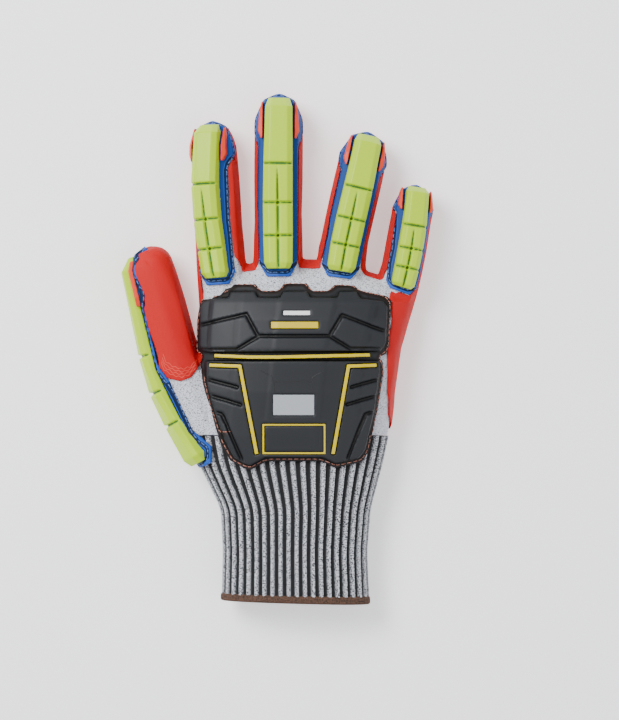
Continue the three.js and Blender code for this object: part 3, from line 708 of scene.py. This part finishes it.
@dataclass
class Moulded:
    """A moulded rubber piece with its edges rounded.

    Attributes:
        keys: The CAD nodes.
        finish: Its finish.
        pitch: The fine surface's spacing, in millimetres.
        passes: How many times its edges are relaxed.
        relaxing: Passes that fill the grooves of the surface they are measured from.
        rounding: The curve that the piece is bulged to, if it lies on the back of the hand.
    """

    keys: tuple[str, ...]
    finish: Finish
    pitch: float = 0.42
    passes: int = 3
    relaxing: int = 70
    rounding: RoundBack | None = None

    def build(self):
        """Makes and dresses the piece."""
        piece = self.shape()
        handed(piece, self.finish, *self.keys)
        return piece

    def shape(self):
        """The rounded shape alone."""
        piece = copy_of(self.keys[0] + "_moulded", *self.keys)
        modified(piece, "REMESH", mode="VOXEL", voxel_size=self.pitch * MM)
        modified(piece, "SMOOTH", factor=0.5, iterations=self.passes)
        if self.rounding:
            self.rounding.bulge(piece)
        if self.finish.pattern in (Pattern.GROOVED, Pattern.EDGED):
            self.paint_groove_shade(piece)
        return piece

    def paint_groove_shade(self, piece) -> None:
        """Stores how far each vertex lies below the piece's relaxed surface, as the mask of the painted shade in the
        grooves.
        """
        relaxed = bpy.data.objects.new("relaxed", piece.data.copy())
        bpy.context.scene.collection.objects.link(relaxed)
        modified(relaxed, "SMOOTH", factor=0.5, iterations=self.relaxing)
        normals = np.empty(len(piece.data.vertices) * 3)
        piece.data.vertices.foreach_get("normal", normals)
        sunk = ((vertices(relaxed) - vertices(piece)) * normals.reshape(-1, 3)).sum(axis=1) / MM
        bpy.data.objects.remove(relaxed)
        # Deeper vertices get more painted shade.
        paint(piece, "groove_shade_mask", np.clip((sunk + 0.02) / 0.3, 0, 1))


@dataclass
class StitchedGuard(Moulded):
    """A moulded piece sewn down through a channel along its rim."""

    thread: Finish = BLUE_THREAD
    inset: float = 1.95
    sink: float = 0.3
    stitch: int = 4
    gap: int = 2

    def sewn(self, hand: BVHTree):
        """Makes the piece, presses its channel and sews it down.

        Args:
            hand: The hand's surface.

        Returns:
            The moulded object.
        """
        rim = Rim.of(self.keys[0], hand)
        piece = self.shape()
        places = vertices(piece)
        edge = rim.distances([Vector(p) for p in places])
        # Distance from the rim, which places the painted rim highlight and the channel.
        paint(piece, "edge", np.clip(edge / 4, 0, 1))
        normals = np.empty(places.size)
        piece.data.vertices.foreach_get("normal", normals)
        pressed = self.sink * np.exp(-(((edge - self.inset) / 0.45) ** 2))
        places = places - normals.reshape(-1, 3) * pressed[:, None] * MM
        piece.data.vertices.foreach_set("co", places.reshape(-1))
        piece.data.update()
        paths = rim.stitches(tree_of(piece), self.inset * MM, self.stitch + self.gap, self.stitch, 0.16 * MM)
        handed(piece, self.finish, *self.keys)
        thread = tubes(self.keys[0] + "_stitches", paths, 0.22 * MM)
        handed(thread, self.thread)
        return piece


@dataclass
class DigitGuard:
    """One digit's guard: a sewn base, a jointed pad and two side wings."""

    digit: str

    def build(self, hand: BVHTree) -> None:
        """Makes and dresses the guard's pieces."""
        StitchedGuard((self.digit + "_base",), BLUE, pitch=0.34, passes=16).sewn(hand)
        Moulded((self.digit + "_pad",), LIME, pitch=0.36, passes=4).build()
        Moulded((self.digit + "_wing_thumb_side",), ORANGE, pitch=0.3).build()
        Moulded((self.digit + "_wing_little_side",), ORANGE, pitch=0.3).build()


def laid(surface: BVHTree, path, sink: float, spacing: float = 0.6):
    """A path in plan laid on a surface seen from above.

    Args:
        surface: The surface to lie on.
        path: (x, y) corners in millimetres.
        sink: How deep the path lies in the surface, in millimetres.
        spacing: The distance between points, in millimetres.

    Returns:
        Points in metres.
    """
    corners = np.array(path, dtype=float)
    along = np.concatenate([[0], np.cumsum(np.linalg.norm(np.diff(corners, axis=0), axis=1))])
    places = np.linspace(0, along[-1], max(int(along[-1] / spacing), 2))
    points = []
    for place in places:
        x, y = (np.interp(place, along, corners[:, k]) * MM for k in range(2))
        hit, normal, _, _ = surface.ray_cast(Vector((x, y, 0.1)), Vector((0, 0, -1)))
        if hit:
            points.append(hit - normal * sink * MM)
    return points


@dataclass
class DipEdge:
    """The low ridges that the dip leaves where it ends below the thumb.

    Attributes:
        line: The outermost ridge, as (x, y) in millimetres.
        steps: How far up the hand each ridge lies from the outermost.
    """

    line: tuple[tuple[float, float], ...] = (
        (-57.5, -8.5), (-56.0, -12.0), (-52.0, -14.6), (-47.5, -15.6), (-43.5, -14.4), (-40.5, -11.0),
    )
    steps: tuple[float, ...] = (1.0, 2.3, 3.6, 5.0)

    def build(self, coating: BVHTree) -> None:
        """Makes and dresses the ridges."""
        paths = []
        for step in self.steps:
            waves = [(x * (1 - 0.004 * step), y + step + 0.35 * math.sin(2.1 * x + 3 * step)) for x, y in self.fine()]
            paths.append(laid(coating, waves, 0.1))
        handed(tubes("dip_edge_ridges", [path for path in paths if len(path) > 1], 0.2 * MM), DIP_LINE)

    def fine(self):
        """The line with points close enough for its waves."""
        corners = np.array(self.line)
        share = np.linspace(0, len(corners) - 1, 60)
        return [tuple(np.interp(s, range(len(corners)), corners[:, k]) for k in range(2)) for s in share]


@dataclass
class BackGuard:
    """The black guard over the back of the hand, with its yellow lines, badge and label areas.

    Attributes:
        engraved_lines: The fine engraved lines on the middle of the guard, drawn as dark tubes of painted shade, as (x,
            y) in millimetres.
    """

    engraved_lines: tuple[tuple[tuple[float, float], ...], ...] = (
        ((-8.4, -11.2), (-2.4, -14.2), (-1.4, -18.7), (-1.2, -22.2)),
        ((22.6, -11.7), (17.1, -14.7), (17.1, -21.7)),
        ((-1.3, -16.7), (17.1, -16.7)),
    )

    def build(self, hand: BVHTree) -> None:
        """Makes and dresses the guard's pieces."""
        curve = RoundBack()
        shell = StitchedGuard(
            ("back_guard",), BLACK, pitch=0.5, passes=4, rounding=curve, thread=BLACK_THREAD, inset=1.3, sink=0.2
        ).sewn(hand)
        # The engraved lines are drawn as dark tubes of painted shade.
        lines = [laid(tree_of(shell), path, 0.12) for path in self.engraved_lines]
        handed(tubes("back_guard_engraved_shade", lines, 0.22 * MM), ENGRAVED_SHADE)
        for key in ("flex_line", "thumb_side_line", "little_side_line"):
            Moulded((key,), YELLOW, pitch=0.28, rounding=curve).build()
        Moulded(("badge_frame",), YELLOW, pitch=0.2, passes=2, rounding=curve).build()
        Moulded(("rating_plate",), PRINT_GREY, pitch=0.25, passes=1, rounding=curve).build()
        Moulded(("wide_bar",), YELLOW, pitch=0.2, passes=1, rounding=curve).build()
        Moulded(("short_bar",), PRINT_WHITE, pitch=0.2, passes=1, rounding=curve).build()


@dataclass
class Studio:
    """A white table under soft light, with the camera straight above."""

    centre: tuple[float, float] = (15.8 * MM, -6.2 * MM)
    height: float = 1.6
    span: float = 0.36

    def build(self) -> None:
        """Makes the floor, the lights and the camera."""
        bpy.ops.mesh.primitive_plane_add(size=6, location=(0, 0, -0.2 * MM))
        floor = bpy.context.object
        floor.name = "table"
        floor.data.materials.append(Finish(Slot.KNIT, "white table", "#FFFFFF", 0.9, relief=0.0, shine=0.0, glow=0.55).material())
        world = bpy.data.worlds.new("studio")
        bpy.context.scene.world = world
        world.use_nodes = True
        world.node_tree.nodes["Background"].inputs["Color"].default_value = linear("#F6F8FC")
        world.node_tree.nodes["Background"].inputs["Strength"].default_value = 0.72
        self.lamp("key", (-0.6, 0.5, 1.0), 0.6, 20)
        self.lamp("fill", (0.7, -0.4, 1.0), 1.2, 5)
        bpy.ops.object.camera_add(location=(*self.centre, self.height))
        camera = bpy.context.object
        camera.data.sensor_width = 36
        camera.data.lens = 36 * self.height / self.span
        camera.data.clip_start = 0.05
        bpy.context.scene.camera = camera

    def lamp(self, name: str, place, size: float, watts: float) -> None:
        """Adds a soft lamp that points at the glove."""
        bpy.ops.object.light_add(type="AREA", location=place)
        lamp = bpy.context.object
        lamp.name = name
        lamp.data.size = size
        lamp.data.energy = watts
        lamp.rotation_euler = (-Vector(place)).to_track_quat("-Z", "Y").to_euler()


def main() -> None:
    """Builds the glove and its studio in order."""
    logging.basicConfig(level=logging.INFO, format="%(name)s %(message)s")
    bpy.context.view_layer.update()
    knit = SoftShell("knit_hand", KNIT, 26).build()
    coating = SoftShell("palm_coating", DIP, 9, levels=2).build()
    DipEdge().build(tree_of(coating))
    cuff = Cuff()
    cuff.build()
    sleeve = cuff.sleeve()
    hand = tree_of(knit, sleeve)
    bpy.data.objects.remove(sleeve)
    for digit in ("index", "middle", "ring", "little", "thumb"):
        DigitGuard(digit).build(hand)
    BackGuard().build(hand)
    Studio().build()


if __name__ == "__main__":
    main()
